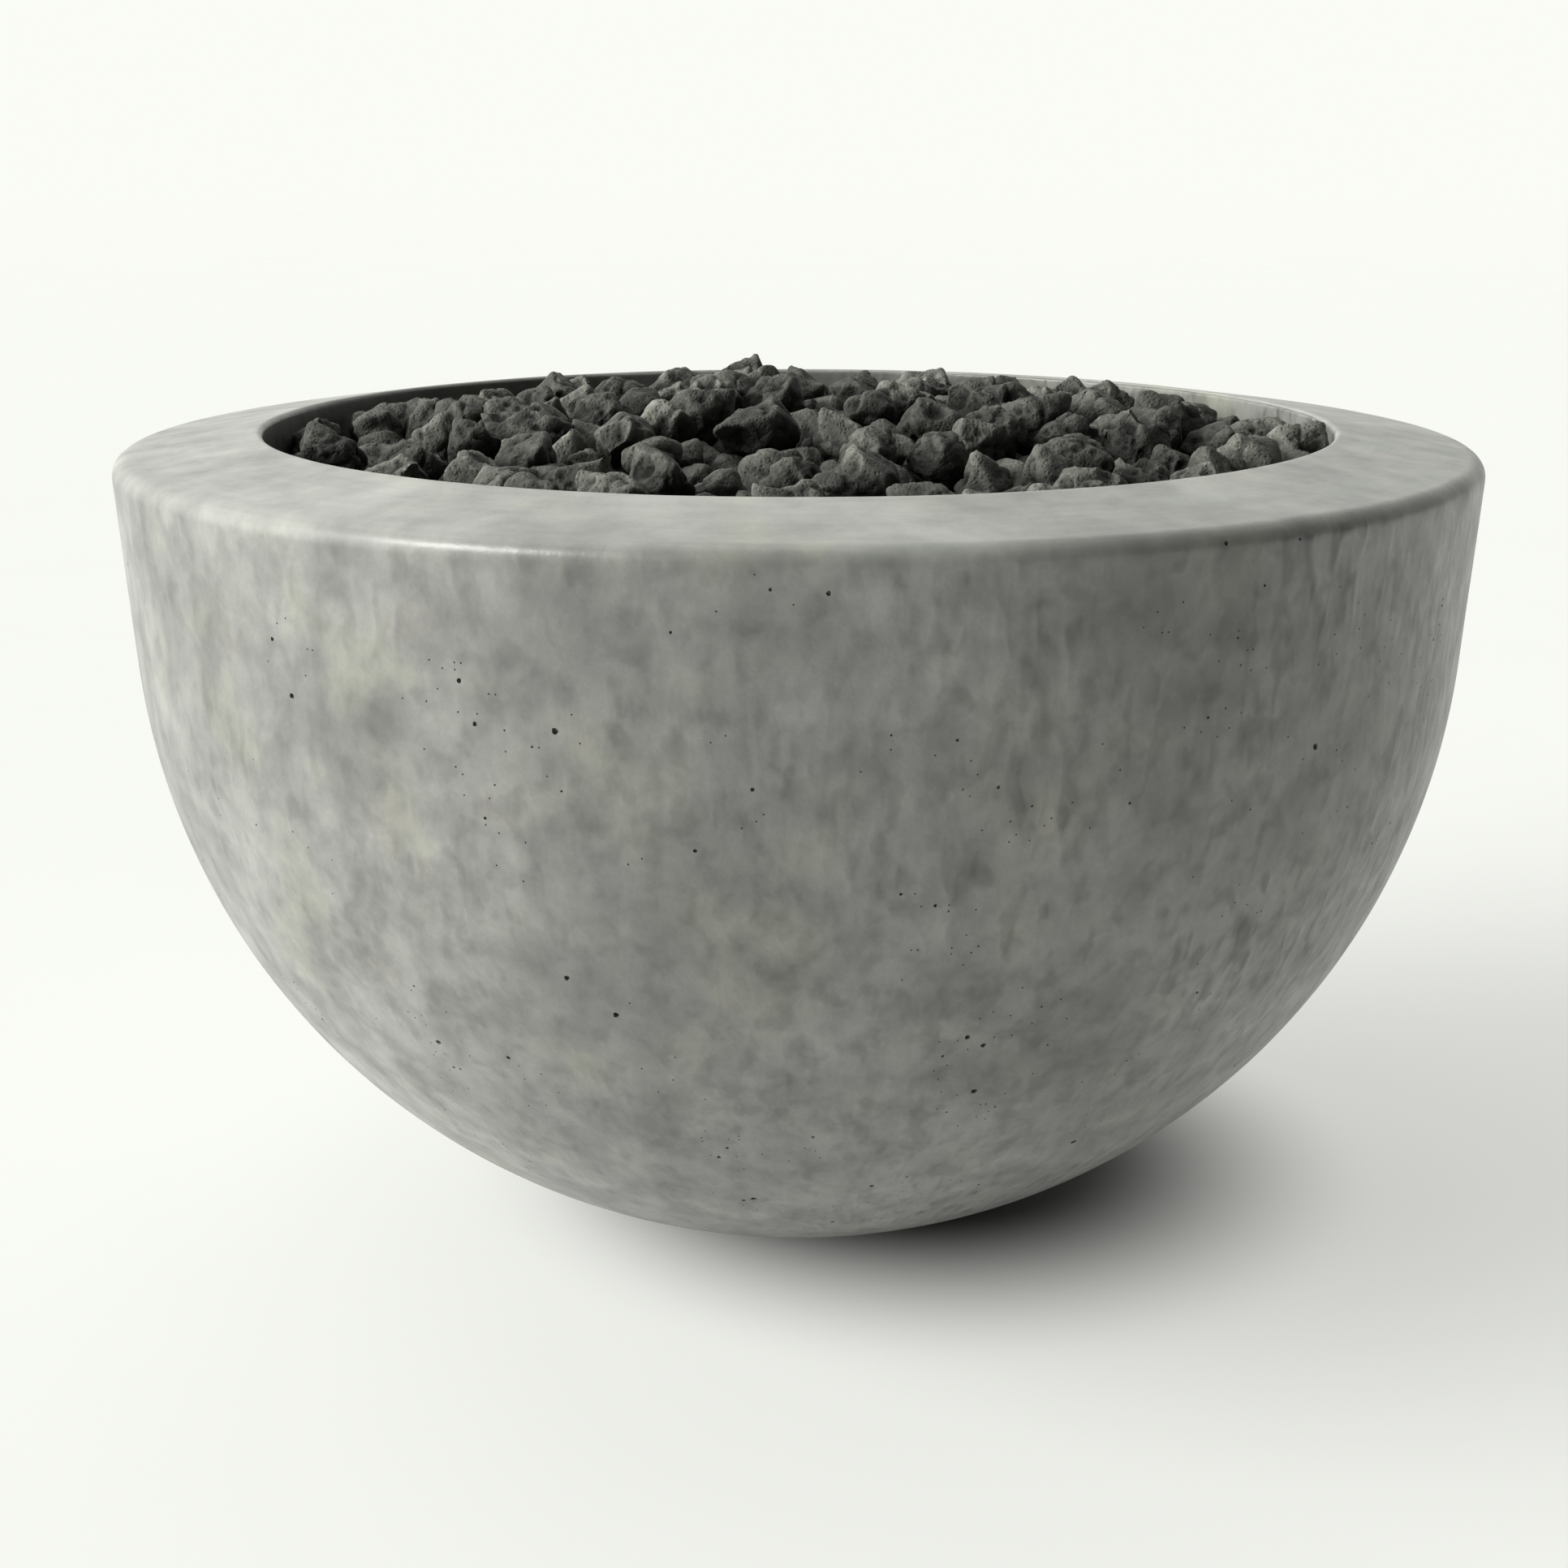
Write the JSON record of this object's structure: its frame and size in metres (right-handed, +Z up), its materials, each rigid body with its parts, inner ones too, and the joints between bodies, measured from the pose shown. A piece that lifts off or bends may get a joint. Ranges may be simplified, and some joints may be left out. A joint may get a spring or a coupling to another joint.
{
  "type": "gas fire pit bowl",
  "caption": "Round cast-concrete gas fire bowl filled with black lava rock, with a drop-in ring burner and a key valve in its back wall.",
  "frame": {"origin": "on the ground, under the middle of the bowl", "axes": "+Z up, +Y towards the back wall with the key valve, so the pictured side faces -Y"},
  "size_m": [0.914, 0.9138, 0.58],
  "materials": {
    "concrete": "satin",
    "lava": "matte",
    "stainless": "satin",
    "pipe_steel": "matte",
    "brass": "satin",
    "chrome": "polished",
    "rubber": "matte",
    "nylon": "matte"
  },
  "bodies": {
    "root": {"bowl_shell": "concrete", "foot_pads": "rubber", "burner_pan": "stainless", "burner_outer_ring": "stainless", "burner_inner_ring": "stainless", "burner_outer_spokes": "stainless", "burner_inner_spokes": "stainless", "burner_hub": "stainless", "burner_feet": "stainless", "foot_screws": "stainless", "feed_nipple": "pipe_steel", "pan_washers": "pipe_steel", "pan_locknuts": "pipe_steel", "air_mixer": "brass", "gas_orifice": "brass", "mixer_hose_nut": "brass", "gas_hose": "stainless", "valve_hose_nut": "brass", "valve_body": "brass", "valve_cap": "brass", "wall_sleeve": "pipe_steel", "wall_nut": "pipe_steel", "cover_ring": "stainless", "cover_screws": "stainless", "wall_plugs": "nylon", "supply_nut": "brass", "supply_pipe": "pipe_steel", "inlet_fitting": "brass", "lava_bed": "lava", "lava_rocks_lower": "lava", "lava_rocks_upper": "lava"},
    "plug": {"valve_plug": "brass", "stem_seals": "rubber"},
    "key": {"valve_key": "chrome"},
    "shutter": {"air_shutter": "stainless", "shutter_screw": "brass"}
  },
  "joints": [
    {"name": "key_turn", "type": "hinge", "parent": "root", "child": "plug", "pos_m": [0, 0.285, 0.3], "axis": [0, 1, 0], "range_deg": [0, 90]},
    {"name": "key_pull", "type": "slide", "parent": "plug", "child": "key", "axis": [0, 1, 0], "range_m": [0, 0.06]},
    {"name": "air_shutter_turn", "type": "hinge", "parent": "root", "child": "shutter", "pos_m": [0, 0, 0.3], "axis": [0, 0, 1], "range_deg": [0, 60]}
  ]
}
